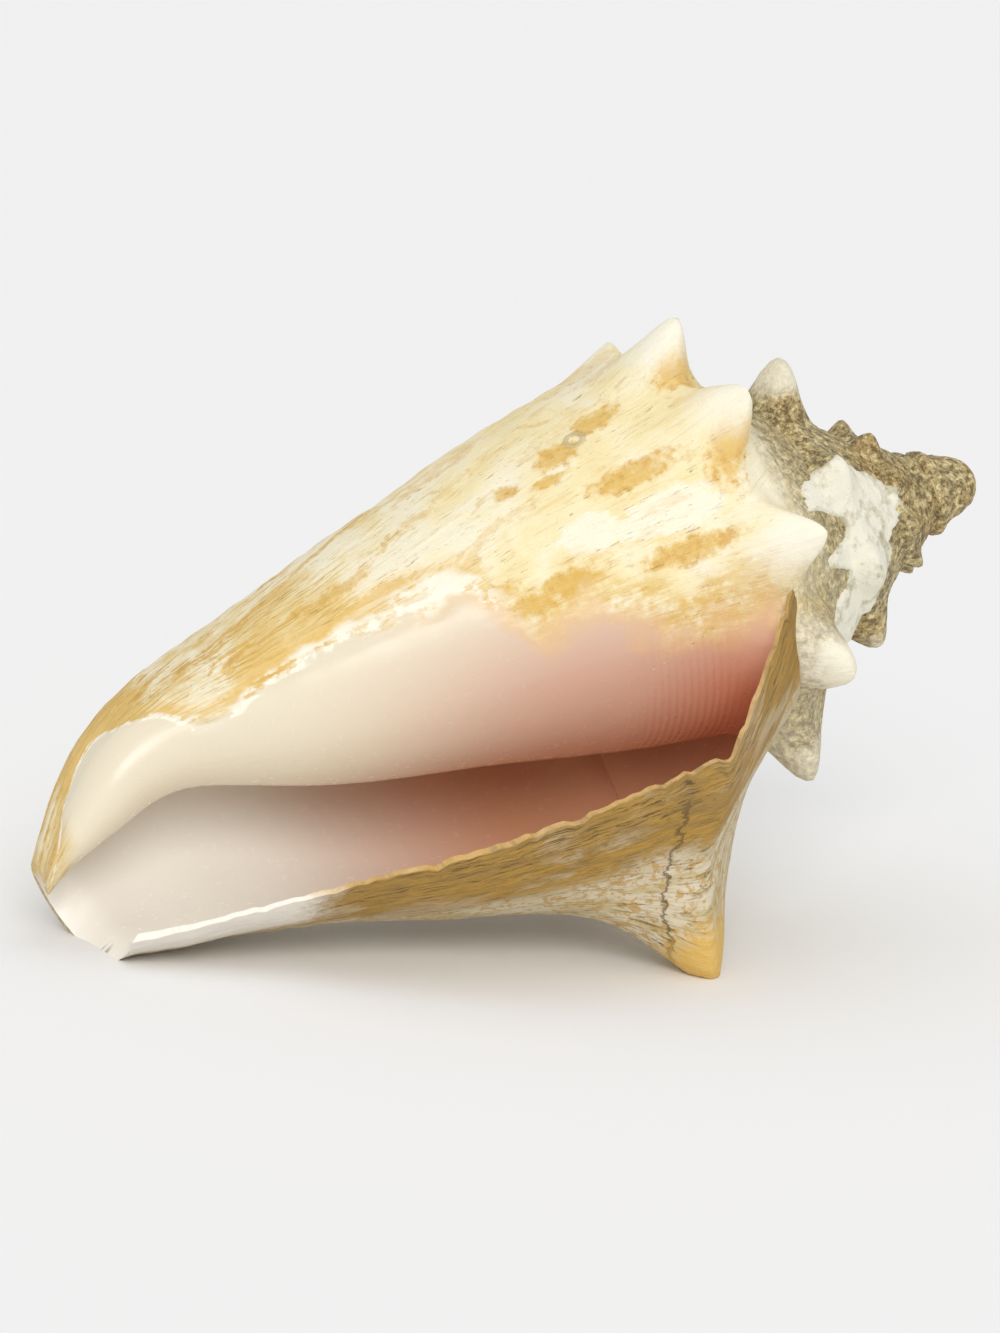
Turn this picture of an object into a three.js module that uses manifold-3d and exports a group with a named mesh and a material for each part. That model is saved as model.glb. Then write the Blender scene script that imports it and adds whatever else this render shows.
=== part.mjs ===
// Conch shell: a young queen conch with no flared lip, lying on three worn points of its last whorl.
//
// The shell is one solid.  It is worked out about its own coiling axis in cylindrical terms:
//   along  distance from the apex towards the front end of the shell
//   reach  distance from the axis
//   turn   azimuth in degrees, which grows without limit as the shell coils
// A turn of 0 faces the aperture side and 90 is its left side, seen from the aperture with the apex up.
// The finished solid is then laid down in its resting pose, with +Z up and the floor at z = 0.

import * as THREE from 'three';
import Module from 'manifold-3d';
import { mergeVertices } from 'three/addons/utils/BufferGeometryUtils.js';

// ---- driving dimensions, in millimetres and degrees ----

const GROWTH = 1.65;            // how much the shell grows in one whorl
const SHOULDER_ALONG = 80.5;    // the shoulder's place at the reference turn
const SHOULDER_REACH = 53.5;
const REFERENCE_TURN = 270;
const SUTURE_ALONG = 50;        // where the ramp starts, just inside the whorl before
const SUTURE_REACH = 29;

const SHELL_LENGTH = 193;       // apex to the tip of the columella, along the axis
const LIP_SHORTFALL = 9;        // how far short of that the outer lip ends
const CANAL_START = 156;        // from here on the canal bends away from the axis
const CANAL_SPAN = 37;
const CANAL_DROP = 20;

const LIP_TURN = 354;           // where the lip meets the suture
const RAMP_SHARE = 0.22;        // the ramp's share of a growth line, from suture to front end
const RAMP_LAG = 31;            // how far the lip falls back from the suture to the shoulder
const SIDE_LAG = 27;            // and from the shoulder to the front end
const LATE_CLIMB = 0.12;        // how much the last of the shoulder climbs back towards the apex

const WALL = 3.0;               // wall of the last whorl, well inside
const LIP_WALL = 1.5;           // and at the lip
const LIP_TAPER = 40;           // degrees over which the lip thickens
const HOLLOW_LINES = 47;        // growth lines that the hollow runs back from the lip
const HOLLOW_SECTIONS = 26;
const MOUTH_OVERRUN = 8;        // how far the hollow runs out past the front end
const MOUTH_LINES = 2;          // and growth lines that it runs out past the lip
const REJOIN_LINES = 8;         // growth lines of the last whorl's start that are put back whole
const WHORLS = 6;
const CORE = 1.3;               // radius of the columella's solid centre
const BORE = 0.3;               // inner edge of each lofted whorl, inside that centre

// The worn, rounded tip of the spire, as reach and along.
const NOSE = [[0, 0], [2.2, 0.5], [3.7, 1.4], [5.2, 4.0], [6.6, 7.2], [8.2, 10.8], [7, 11.6], [0, 12]];

// Reach of the side as a share of the shoulder's, at stations from shoulder to front end.
const STATIONS = [0, 0.2, 0.4, 0.6, 0.8, 0.9, 1.0];
const PILLAR_SIDE = [1.0, 0.90, 0.73, 0.57, 0.31, 0.27, 0.05];
const MIDDLE_SIDE = [1.0, 0.84, 0.64, 0.42, 0.20, 0.13, 0.035];
const LIP_SIDE = [1.0, 0.99, 0.91, 0.80, 0.72, 0.64, 0.48];

// Shoulder spines: turn, height, lean towards the apex, half-widths round and along, and point, which is
// 1 for a sharp spine and 3 for a blunt knob.
const SPINES = [
  { turn: 283, height: 21.5, lean: -3, round: 11, along: 12, point: 1.6 },
  { turn: 233, height: 21, lean: 4, round: 9, along: 9, point: 1.6 },
  { turn: 193, height: 14, lean: 12, round: 7, along: 7, point: 1.6 },
  { turn: 159, height: 11, lean: 20, round: 6, along: 6, point: 1.6 },
  { turn: 127, height: 9, lean: 28, round: 6, along: 6, point: 1.6 },
  { turn: 94, height: 5, lean: 45, round: 5, along: 5, point: 1.6 },
  { turn: 66, height: 11.5, lean: 43, round: 6, along: 6.5, point: 1.7 },
  { turn: 37, height: 10.5, lean: 52, round: 6.5, along: 7, point: 2 },
  { turn: -2, height: 12, lean: 46, round: 6, along: 6.5, point: 1.7 },
  { turn: -36, height: 12.5, lean: 28, round: 7.5, along: 7.5, point: 2.1 },
  { turn: -83, height: 12.5, lean: -4, round: 7.5, along: 7, point: 2 },
  { turn: -122, height: 9, lean: 26, round: 5.5, along: 5.5, point: 1.8 },
  { turn: -160, height: 8.5, lean: 26, round: 5, along: 5, point: 1.8 },
  { turn: -197, height: 8, lean: 26, round: 5, along: 5, point: 1.8 },
  { turn: -232, height: 7, lean: 26, round: 4.5, along: 4.5, point: 1.8 },
    { turn: -289, height: 10, lean: 22, round: 4.8, along: 5, point: 2.4 },
  { turn: -340, height: 4, lean: 25, round: 4.4, along: 4.4, point: 2 },
  { turn: -388, height: 3.5, lean: 25, round: 4.2, along: 4.2, point: 2 },
  { turn: -440, height: 5.5, lean: 8, round: 5, along: 5, point: 2.4 },
];
const OLD_SPINE = { pitch: 38, height: 4, lean: 25, width: 3.6, count: 12, shrink: 0.9, point: 2 };

// Resting pose: the axis slopes down and forward from the apex, then the shell settles on its points.
const AXIS_SLOPE = 17.5;
const AXIS_YAW = 15;
const REST_PITCH = 12.153;
const REST_ROLL = 3.416;
const WORN = 0.7;               // depth worn off the points that touch the floor

const TURN_STEP = 6;            // between growth lines
const RAMP_ROWS = 5;
const SIDE_ROWS = 14;

// ---- the growing outline ----

const rad = THREE.MathUtils.degToRad;
const smooth = (x) => THREE.MathUtils.smoothstep(x, 0, 1);
const scaleAt = (turn) => GROWTH ** ((turn - REFERENCE_TURN) / 360);
const climbAt = (turn) => 1 - LATE_CLIMB * smooth((turn - 285) / 40);

/** A smooth curve through values given at the stations. */
function along(stations, values, u) {
  const last = stations.length - 2;
  let i = 0;
  while (i < last && u > stations[i + 1]) i += 1;
  const slope = (k) => {
    const a = Math.max(k - 1, 0);
    const b = Math.min(k + 1, last + 1);
    return (values[b] - values[a]) / (stations[b] - stations[a]);
  };
  const span = stations[i + 1] - stations[i];
  const t = (u - stations[i]) / span;
  const t2 = t * t;
  const t3 = t2 * t;
  return (2 * t3 - 3 * t2 + 1) * values[i] + (t3 - 2 * t2 + t) * span * slope(i)
    + (3 * t2 - 2 * t3) * values[i + 1] + (t3 - t2) * span * slope(i + 1);
}

/** Azimuth of a growth line at share v of its run, given where it meets the suture. */
function turnAt(growth, v) {
  if (v < RAMP_SHARE) return growth - RAMP_LAG * (v / RAMP_SHARE) ** 0.8;
  return growth - RAMP_LAG - SIDE_LAG * smooth((v - RAMP_SHARE) / (1 - RAMP_SHARE));
}

/** Front end of the whorl at an azimuth: short at the lip, and scaled down on the old whorls. */
function frontEnd(turn) {
  if (turn < -150) return SHELL_LENGTH * GROWTH ** ((turn + 150) / 360);
  return SHELL_LENGTH - LIP_SHORTFALL * smooth((turn - 150) / 170);
}

/** Reach of the side as a share of the shoulder's. */
function sideShare(turn, u) {
  const opened = smooth((turn - 60) / 230);
  const grown = smooth((turn + 90) / 180);
  const young = THREE.MathUtils.lerp(along(STATIONS, MIDDLE_SIDE, u), along(STATIONS, LIP_SIDE, u), opened);
  return THREE.MathUtils.lerp(along(STATIONS, PILLAR_SIDE, u), young, grown);
}

/** The smooth outline, before spines, as [along, reach]. */
function outline(growth, v) {
  const turn = turnAt(growth, v);
  const s = scaleAt(turn);
  const climbed = s * climbAt(turn);
  if (v < RAMP_SHARE) {
    const q = v / RAMP_SHARE;
    return [
      climbed * THREE.MathUtils.lerp(SUTURE_ALONG, SHOULDER_ALONG, q ** 1.15),
      s * THREE.MathUtils.lerp(SUTURE_REACH, SHOULDER_REACH, q ** 0.95),
    ];
  }
  const u = (v - RAMP_SHARE) / (1 - RAMP_SHARE);
  return [
    THREE.MathUtils.lerp(climbed * SHOULDER_ALONG, frontEnd(turn), u),
    s * SHOULDER_REACH * sideShare(turn, u),
  ];
}

/** Every spine, the old whorls' too. */
function allSpines() {
  const first = SPINES[SPINES.length - 1].turn;
  const old = Array.from({ length: OLD_SPINE.count }, (_, k) => {
    const turn = first - OLD_SPINE.pitch * (k + 1);
    const s = GROWTH ** ((turn - first) / 360);
    const width = OLD_SPINE.width * s;
    const height = OLD_SPINE.height * s ** OLD_SPINE.shrink;
    return { turn, height, lean: OLD_SPINE.lean, round: width, along: width, point: OLD_SPINE.point };
  });
  return SPINES.concat(old);
}

const spines = allSpines();

/** The outline with its spines. */
function outside(growth, v) {
  const turn = turnAt(growth, v);
  const s = scaleAt(turn);
  let [a, r] = outline(growth, v);
  const side = v < RAMP_SHARE ? -1 : 1;
  const fromShoulder = side * Math.hypot(a - SHOULDER_ALONG * s * climbAt(turn), r - SHOULDER_REACH * s);
  for (const spine of spines) {
    const own = scaleAt(spine.turn);
    const round = Math.abs(rad(turn - spine.turn) * SHOULDER_REACH * own) / spine.round;
    const down = Math.abs(fromShoulder - own) / spine.along;
    if (round > 3 || down > 3) continue;
    const rise = spine.height * Math.exp(-(round ** spine.point) - down ** spine.point);
    r += rise * Math.cos(rad(spine.lean));
    a -= rise * Math.sin(rad(spine.lean));
  }
  return [a, r];
}

/** The inner face of the last whorl's wall. */
function inside(growth, v) {
  const step = 1e-3;
  const [a0, r0] = outline(growth, Math.max(v - step, 0));
  const [a1, r1] = outline(growth, Math.min(v + step, 1));
  const [a, r] = outline(growth, v);
  const length = Math.hypot(a1 - a0, r1 - r0);
  const deep = smooth((LIP_TURN - growth) / LIP_TAPER);
  const wall = THREE.MathUtils.lerp(LIP_WALL, WALL, deep);
  return [a + wall * (r1 - r0) / length, r - wall * (a1 - a0) / length];
}

// ---- solids ----

const wasm = await Module();
wasm.setup();

/** A point in space from along, reach and azimuth, with the canal's bend. */
function place(a, r, turn) {
  const drop = CANAL_DROP * Math.max((a - CANAL_START) / CANAL_SPAN, 0) ** 2.5;
  return new THREE.Vector3(r * Math.cos(rad(turn)), r * Math.sin(rad(turn)) - drop, a);
}

/** A manifold solid from points and faces, turned the right way out. */
function solid(points, faces) {
  const geometry = new THREE.BufferGeometry();
  const places = points.flatMap((p) => p.toArray());
  geometry.setAttribute('position', new THREE.Float32BufferAttribute(places, 3));
  geometry.setIndex(faces.flat());
  return solidOf(geometry);
}

function solidOf(source) {
  const geometry = source.clone();
  geometry.deleteAttribute('normal');
  geometry.deleteAttribute('uv');
  const merged = mergeVertices(geometry, 1e-5);
  const vertProperties = Float32Array.from(merged.attributes.position.array);
  const triVerts = Uint32Array.from(merged.index.array);
  const made = new wasm.Manifold(new wasm.Mesh({ numProp: 3, vertProperties, triVerts }));
  if (made.volume() > 0) return made;
  return new wasm.Manifold(new wasm.Mesh({ numProp: 3, vertProperties, triVerts: triVerts.reverse() }));
}

/** Shares of a growth line at which a section has its points. */
function rows(rampRows, sideRows) {
  const ramp = Array.from({ length: rampRows }, (_, i) => RAMP_SHARE * (i / rampRows));
  const side = Array.from({ length: sideRows + 1 }, (_, i) => {
    const share = (i / sideRows) ** 1.25;
    return RAMP_SHARE + (1 - RAMP_SHARE) * share;
  });
  return ramp.concat(side);
}

/** Lofts a whorl over growth lines counted back from the lip, solid in to its bore. */
function loftWhorl({ oldest, newest, stride, shares, edge, overrun = 0 }) {
  const count = (oldest - newest) / stride;
  const points = [];
  const faces = [];
  const width = shares.length;
  for (let k = 0; k <= count; k += 1) {
    const growth = LIP_TURN - TURN_STEP * (oldest - k * stride);
    const ring = shares.map((v) => {
      const [a, r] = edge(growth, v);
      return [a, Math.max(r, CORE * 0.9), turnAt(growth, v)];
    });
    if (overrun > 0) {
      const [a, r, turn] = ring[width - 1];
      ring[width - 1] = [a + overrun, r, turn];
    }
    ring.forEach(([a, r, turn]) => points.push(place(a, r, turn)));
    ring.forEach(([, , turn], i) => {
      const share = i / (width - 1);
      points.push(place(THREE.MathUtils.lerp(ring[0][0], ring[width - 1][0], share), BORE, turn));
    });
  }
  const outer = (k, i) => k * 2 * width + i;
  const inner = (k, i) => k * 2 * width + width + i;
  const quad = (a, b, c, d) => faces.push([a, b, c], [a, c, d]);
  for (let k = 0; k < count; k += 1) {
    for (let i = 0; i < width - 1; i += 1) {
      quad(outer(k, i), outer(k, i + 1), outer(k + 1, i + 1), outer(k + 1, i));
      quad(inner(k, i), inner(k + 1, i), inner(k + 1, i + 1), inner(k, i + 1));
    }
    quad(outer(k, 0), outer(k + 1, 0), inner(k + 1, 0), inner(k, 0));
    const last = width - 1;
    quad(outer(k, last), inner(k, last), inner(k + 1, last), outer(k + 1, last));
  }
  for (let i = 0; i < width - 1; i += 1) {
    quad(outer(0, i), inner(0, i), inner(0, i + 1), outer(0, i + 1));
    quad(outer(count, i), outer(count, i + 1), inner(count, i + 1), inner(count, i));
  }
  return solid(points, faces);
}

/** The columella's solid centre, which closes the bore. */
function core() {
  const tip = scaleAt(LIP_TURN - 360 * WHORLS) * SUTURE_ALONG;
  const points = [[0, tip], [CORE, tip + CORE], [CORE, CANAL_START], [CORE, SHELL_LENGTH - 1]];
  const bent = [];
  const faces = [];
  const sides = 10;
  const steps = 24;
  for (let k = 0; k <= steps; k += 1) {
    const a = THREE.MathUtils.lerp(points[1][1], points[3][1], k / steps);
    for (let i = 0; i < sides; i += 1) bent.push(place(a, CORE, 360 * (i / sides)));
  }
  for (let k = 0; k < steps; k += 1) {
    for (let i = 0; i < sides; i += 1) {
      const j = (i + 1) % sides;
      const at = k * sides;
      faces.push([at + i, at + j, at + sides + j], [at + i, at + sides + j, at + sides + i]);
    }
  }
  const near = bent.push(place(points[0][1], 0, 0)) - 1;
  const far = bent.push(place(SHELL_LENGTH, 0, 0)) - 1;
  for (let i = 0; i < sides; i += 1) {
    const j = (i + 1) % sides;
    faces.push([near, j, i], [far, steps * sides + i, steps * sides + j]);
  }
  return solid(bent, faces);
}

/** The whole shell about its own axis. */
function shellSolid() {
  const shares = rows(RAMP_ROWS, SIDE_ROWS);
  const lines = 360 / TURN_STEP;
  const lap = 2;
  const half = lines / 2;
  const late = loftWhorl({ oldest: half + lap, newest: 0, stride: 1, shares, edge: outside });
  const early = loftWhorl({ oldest: lines + lap, newest: half, stride: 1, shares, edge: outside });
  const hollow = loftWhorl({
    oldest: HOLLOW_LINES, newest: -MOUTH_LINES, stride: (HOLLOW_LINES + MOUTH_LINES) / HOLLOW_SECTIONS,
    shares: rows(3, 10), edge: inside, overrun: MOUTH_OVERRUN,
  });
  let shell = early.add(late).subtract(hollow);
  let newest = lines - REJOIN_LINES;
  for (let whorl = 1; whorl <= WHORLS; whorl += 1) {
    const stride = whorl === 1 ? 1 : 2;
    const oldest = newest + lines - 2 * lap;
    shell = shell.add(loftWhorl({ oldest, newest, stride, shares, edge: outside }));
    newest = oldest - 2 * lap;
  }
  const nose = new THREE.LatheGeometry(NOSE.map(([reach, at]) => new THREE.Vector2(reach, at)), 24);
  nose.rotateX(Math.PI / 2);
  return shell.add(core()).add(solidOf(nose));
}

// ---- resting pose ----

/** Lays the shell down: from its own axis to the floor's frame. */
function layDown(geometry) {
  const slope = rad(AXIS_SLOPE);
  const yaw = rad(AXIS_YAW);
  const level = Math.cos(slope);
  const fall = Math.sin(slope);
  const front = new THREE.Vector3(level * Math.sin(yaw), -Math.cos(yaw), fall * Math.sin(yaw));
  const left = new THREE.Vector3(-fall, 0, level);
  const ahead = new THREE.Vector3(-level * Math.cos(yaw), -Math.sin(yaw), -fall * Math.cos(yaw));
  const pose = new THREE.Matrix4().makeBasis(front, left, ahead);
  const pitch = new THREE.Matrix4().makeRotationX(-rad(REST_PITCH));
  const roll = new THREE.Matrix4().makeRotationY(-rad(REST_ROLL));
  geometry.applyMatrix4(roll.multiply(pitch).multiply(pose));
  geometry.computeBoundingBox();
  const { min, max } = geometry.boundingBox;
  geometry.translate(-(min.x + max.x) / 2, -(min.y + max.y) / 2, -min.z - WORN);
}

/** The outer skin of a solid, without any pocket sealed between the whorls. */
function geometryOf(made) {
  const mesh = made.getMesh();
  const root = Array.from({ length: mesh.numVert }, (_, i) => i);
  const find = (i) => {
    let top = i;
    while (root[top] !== top) top = root[top];
    root[i] = top;
    return top;
  };
  const tri = mesh.triVerts;
  for (let k = 0; k < tri.length; k += 3) {
    root[find(tri[k + 1])] = find(tri[k]);
    root[find(tri[k + 2])] = find(tri[k]);
  }
  const sizes = new Map();
  for (let k = 0; k < tri.length; k += 3) sizes.set(find(tri[k]), (sizes.get(find(tri[k])) ?? 0) + 1);
  const skin = [...sizes.entries()].reduce((best, entry) => (entry[1] > best[1] ? entry : best))[0];
  const geometry = new THREE.BufferGeometry();
  geometry.setAttribute('position', new THREE.BufferAttribute(mesh.vertProperties, 3));
  geometry.setIndex([...tri].filter((_, k) => find(tri[k - (k % 3)]) === skin));
  return geometry;
}

const lying = geometryOf(shellSolid());
layDown(lying);
const floor = new THREE.BoxGeometry(400, 400, 20);
floor.translate(0, 0, -10);
const shellGeometry = geometryOf(solidOf(lying).subtract(solidOf(floor)));

const group = new THREE.Group();
const shell = new THREE.Mesh(
  shellGeometry,
  new THREE.MeshStandardMaterial({ color: 0xe6d3ae, roughness: 0.55, metalness: 0 }),
);
shell.name = 'shell';
group.add(shell);

export default group;
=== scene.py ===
"""A young queen conch shell with a worn spire, a lime crust and a pink-lined aperture.

The shell is worked out about its own coiling axis, in millimetres and degrees: `along` runs from the
apex to the front end, `reach` is the distance from the axis and `turn` the azimuth, which grows as the
shell coils.  It is then laid down in its resting pose, in metres, with +Z up and the floor at z = 0.
"""

import logging
import math
from dataclasses import dataclass, field
from enum import Enum
from typing import Callable, Mapping, Sequence, Union

import bpy
from mathutils import Matrix, Vector


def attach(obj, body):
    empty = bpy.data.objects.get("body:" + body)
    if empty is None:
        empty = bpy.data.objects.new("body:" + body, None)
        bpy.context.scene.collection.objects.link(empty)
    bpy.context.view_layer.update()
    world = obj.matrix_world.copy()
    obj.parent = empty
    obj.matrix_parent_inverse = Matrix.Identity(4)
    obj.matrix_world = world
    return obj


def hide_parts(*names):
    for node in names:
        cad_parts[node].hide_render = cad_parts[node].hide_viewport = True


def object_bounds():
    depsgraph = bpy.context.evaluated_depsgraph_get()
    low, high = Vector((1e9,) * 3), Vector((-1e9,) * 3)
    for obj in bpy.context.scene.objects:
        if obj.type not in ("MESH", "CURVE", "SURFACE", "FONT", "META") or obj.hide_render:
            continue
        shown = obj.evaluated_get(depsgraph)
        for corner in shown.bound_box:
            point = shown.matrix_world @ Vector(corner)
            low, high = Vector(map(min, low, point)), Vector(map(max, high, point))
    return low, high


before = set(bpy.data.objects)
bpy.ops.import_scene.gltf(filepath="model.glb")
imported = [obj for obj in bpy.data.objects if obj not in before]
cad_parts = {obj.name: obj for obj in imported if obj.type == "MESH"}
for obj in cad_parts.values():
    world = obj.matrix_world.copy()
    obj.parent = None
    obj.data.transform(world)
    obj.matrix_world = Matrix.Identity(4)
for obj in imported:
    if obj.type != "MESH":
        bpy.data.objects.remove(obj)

LOG = logging.getLogger("conch")
CAD_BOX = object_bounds()
MM = 0.001
Colour = tuple[float, float, float, float]
Patch = tuple[float, float, float, float]


def tint(red: float, green: float, blue: float) -> Colour:
    """Turns a colour given in display steps of 0 to 255 into a linear one.

    Args:
        red: The red step.
        green: The green step.
        blue: The blue step.

    Returns:
        The linear colour with full alpha.
    """
    parts = [step / 255 for step in (red, green, blue)]
    linear = [c / 12.92 if c <= 0.04045 else ((c + 0.055) / 1.055) ** 2.4 for c in parts]
    return (*linear, 1.0)


def operator(kind: str, swapped: bool = False) -> Callable[["Field", "Number"], "Field"]:
    """Makes one of Field's operators.

    Args:
        kind: What its Math node works out.
        swapped: Whether the other number comes first.

    Returns:
        The operator.
    """

    def work_out(own: "Field", other: "Number") -> "Field":
        """Adds the node."""
        return own.graph.math(kind, *((other, own) if swapped else (own, other)))

    return work_out


class Field:
    """A number that a node tree works out, used like a number in an expression."""

    def __init__(self, graph: "Graph", socket: bpy.types.NodeSocket) -> None:
        """Keeps the tree and the socket that gives the number."""
        self.graph = graph
        self.socket = socket

    __add__ = __radd__ = operator("ADD")
    __sub__ = operator("SUBTRACT")
    __rsub__ = operator("SUBTRACT", swapped=True)
    __mul__ = __rmul__ = operator("MULTIPLY")
    __truediv__ = operator("DIVIDE")
    __rtruediv__ = operator("DIVIDE", swapped=True)
    __pow__ = operator("POWER")
    __rpow__ = operator("POWER", swapped=True)
    __gt__ = operator("GREATER_THAN")
    __lt__ = operator("LESS_THAN")

    def __neg__(self) -> "Field":
        """Changes the sign."""
        return self * -1.0

    def __abs__(self) -> "Field":
        """Drops the sign."""
        return self.graph.math("ABSOLUTE", self)


Number = Union[Field, float]
Value = Union[Field, bpy.types.NodeSocket, float, int, str, Sequence[float]]


class Graph:
    """A shader or geometry node tree that is written as expressions."""

    def __init__(self, tree: bpy.types.NodeTree) -> None:
        """Keeps the tree."""
        self.tree = tree

    def node(
        self,
        kind: str,
        settings: Mapping[str, object] | None = None,
        values: Mapping[Union[str, int], Value] | None = None,
    ) -> bpy.types.Node:
        """Adds a node.

        Args:
            kind: The node's type.
            settings: Its properties, which are set first.
            values: Values or links for its sockets, by name or index.

        Returns:
            The new node.
        """
        made = self.tree.nodes.new(kind)
        for name, value in (settings or {}).items():
            setattr(made, name, value)
        for name, value in (values or {}).items():
            self.feed(made.inputs[name], value)
        return made

    def feed(self, socket: bpy.types.NodeSocket, value: Value) -> None:
        """Links or sets a socket.

        Args:
            socket: The socket.
            value: What goes into it.
        """
        if isinstance(value, Field):
            value = value.socket
        if isinstance(value, bpy.types.NodeSocket):
            self.tree.links.new(value, socket)
        else:
            socket.default_value = value

    def math(self, operation: str, *terms: Number) -> Field:
        """Adds a Math node.

        Args:
            operation: What it works out.
            terms: Its inputs in order.

        Returns:
            Its result.
        """
        made = self.node("ShaderNodeMath", {"operation": operation}, dict(enumerate(terms)))
        return Field(self, made.outputs[0])

    def least(self, a: Number, b: Number) -> Field:
        """Gives the smaller of two."""
        return self.math("MINIMUM", a, b)

    def most(self, a: Number, b: Number) -> Field:
        """Gives the greater of two."""
        return self.math("MAXIMUM", a, b)

    def smooth(self, x: Number, low: float = 0.0, high: float = 1.0) -> Field:
        """Steps smoothly from 0 to 1.

        Args:
            x: What is tested.
            low: Where the step begins.
            high: Where it ends; below low, the step falls instead.

        Returns:
            The step.
        """
        if high < low:
            return 1.0 - self.smooth(x, high, low)
        made = self.node(
            "ShaderNodeMapRange",
            {"interpolation_type": "SMOOTHSTEP"},
            {"Value": x, "From Min": low, "From Max": high},
        )
        return Field(self, made.outputs["Result"])

    def lerp(self, a: Number, b: Number, share: Number) -> Field:
        """Goes a share of the way from a to b."""
        return (b - a) * share + a

    def curve(self, x: Number, points: Sequence[tuple[float, float]]) -> Field:
        """Reads a smooth curve.

        Args:
            x: Where it is read, in the units of the points.
            points: The curve's own points, with both parts rising from left to right or not.

        Returns:
            The curve's value.
        """
        lows = [min(p[i] for p in points) for i in (0, 1)]
        spans = [max(p[i] for p in points) - lows[i] for i in (0, 1)]
        made = self.node("ShaderNodeFloatCurve", None, {"Value": (x - lows[0]) / spans[0]})
        line = made.mapping.curves[0]
        scaled = [((p[0] - lows[0]) / spans[0], (p[1] - lows[1]) / spans[1]) for p in points]
        for spot, place in zip(line.points, (scaled[0], scaled[-1])):
            spot.location = place
        for place in scaled[1:-1]:
            line.points.new(*place)
        made.mapping.update()
        return Field(self, made.outputs["Value"]) * spans[1] + lows[1]

    def vector(self, x: Number, y: Number, z: Number) -> bpy.types.NodeSocket:
        """Joins three numbers into a vector."""
        return self.node("ShaderNodeCombineXYZ", None, {"X": x, "Y": y, "Z": z}).outputs[0]

    def position(self) -> tuple[bpy.types.NodeSocket, list[Field]]:
        """Reads where each point of a mesh lies.

        Returns:
            The place, whole and as x, y and z.
        """
        whole = self.node("GeometryNodeInputPosition").outputs[0]
        parts = self.node("ShaderNodeSeparateXYZ", None, {0: whole}).outputs
        return whole, [Field(self, part) for part in parts]

    def millimetres(self) -> bpy.types.NodeSocket:
        """Reads the shaded point's place on its object, in millimetres."""
        metres = self.node("ShaderNodeTexCoord").outputs["Object"]
        values = {0: metres, "Scale": 1 / MM}
        return self.node("ShaderNodeVectorMath", {"operation": "SCALE"}, values).outputs[0]

    def moved(self, mesh: bpy.types.NodeSocket, place: bpy.types.NodeSocket) -> bpy.types.NodeSocket:
        """Puts a mesh's points in their places."""
        return self.node("GeometryNodeSetPosition", None, {0: mesh, "Position": place}).outputs[0]

    def noise(
        self,
        place: bpy.types.NodeSocket,
        scale: float,
        detail: float = 4.0,
        rough: float = 0.55,
        warp: float = 0.0,
    ) -> Field:
        """Reads a cloudy noise of about 0 to 1.

        Args:
            place: Where it is read.
            scale: How fine it is.
            detail: How many finer layers it has.
            rough: How strong the finer layers are.
            warp: How much it is twisted.

        Returns:
            The noise.
        """
        made = self.node(
            "ShaderNodeTexNoise",
            None,
            {"Vector": place, "Scale": scale, "Detail": detail, "Roughness": rough, "Distortion": warp},
        )
        return Field(self, made.outputs[0])

    def cells(self, place: bpy.types.NodeSocket, scale: float, feature: str = "F1") -> Field:
        """Reads the distance in a pattern of cells.

        Args:
            place: Where it is read.
            scale: How fine it is.
            feature: Which distance is read.

        Returns:
            The distance.
        """
        made = self.node("ShaderNodeTexVoronoi", {"feature": feature}, {"Vector": place, "Scale": scale})
        return Field(self, made.outputs["Distance"])

    def mix(self, share: Number, first: Value, second: Value) -> bpy.types.NodeSocket:
        """Mixes two colours.

        Args:
            share: How much of the second is taken.
            first: A colour or a link.
            second: A colour or a link.

        Returns:
            The mixed colour.
        """
        made = self.node("ShaderNodeMix", {"data_type": "RGBA"}, {0: share, 6: first, 7: second})
        return made.outputs[2]

    def bump(self, shader: bpy.types.Node, height: Number, depth: float) -> None:
        """Roughens a shader's surface.

        Args:
            shader: The shader.
            height: The relief.
            depth: Its depth in metres at a height of 1.
        """
        made = self.node("ShaderNodeBump", None, {"Height": height, "Strength": 0.6, "Distance": depth})
        self.feed(shader.inputs["Normal"], made.outputs[0])

    def finish(self, mesh: bpy.types.NodeSocket, material: bpy.types.Material) -> None:
        """Ends a geometry tree in a real mesh that wears its material.

        Args:
            mesh: The mesh.
            material: What it wears.
        """
        real = self.node("GeometryNodeRealizeInstances", None, {0: mesh})
        dressed = self.node("GeometryNodeSetMaterial", None, {0: real.outputs[0], "Material": material})
        self.node("NodeGroupOutput", None, {0: dressed.outputs[0]})


def new_tree(name: str, inputs: Mapping[str, str]) -> tuple[Graph, list[Field]]:
    """Starts a geometry tree that gives one mesh.

    Args:
        name: The tree's name.
        inputs: The kinds of its inputs, Float or Int, by name.

    Returns:
        The tree as a graph, and its inputs in order.
    """
    tree = bpy.data.node_groups.new(name, "GeometryNodeTree")
    for key, kind in inputs.items():
        tree.interface.new_socket(key, in_out="INPUT", socket_type=f"NodeSocket{kind}")
    tree.interface.new_socket("Geometry", in_out="OUTPUT", socket_type="NodeSocketGeometry")
    g = Graph(tree)
    given = g.node("NodeGroupInput").outputs
    return g, [Field(g, given[key]) for key in inputs]


def new_material(name: str) -> tuple[bpy.types.Material, Graph, bpy.types.Node]:
    """Starts a material.

    Args:
        name: Its name.

    Returns:
        The material, its graph and its shader.
    """
    material = bpy.data.materials.new(name)
    material.use_nodes = True
    g = Graph(material.node_tree)
    return material, g, next(n for n in g.tree.nodes if n.type == "BSDF_PRINCIPLED")


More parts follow.
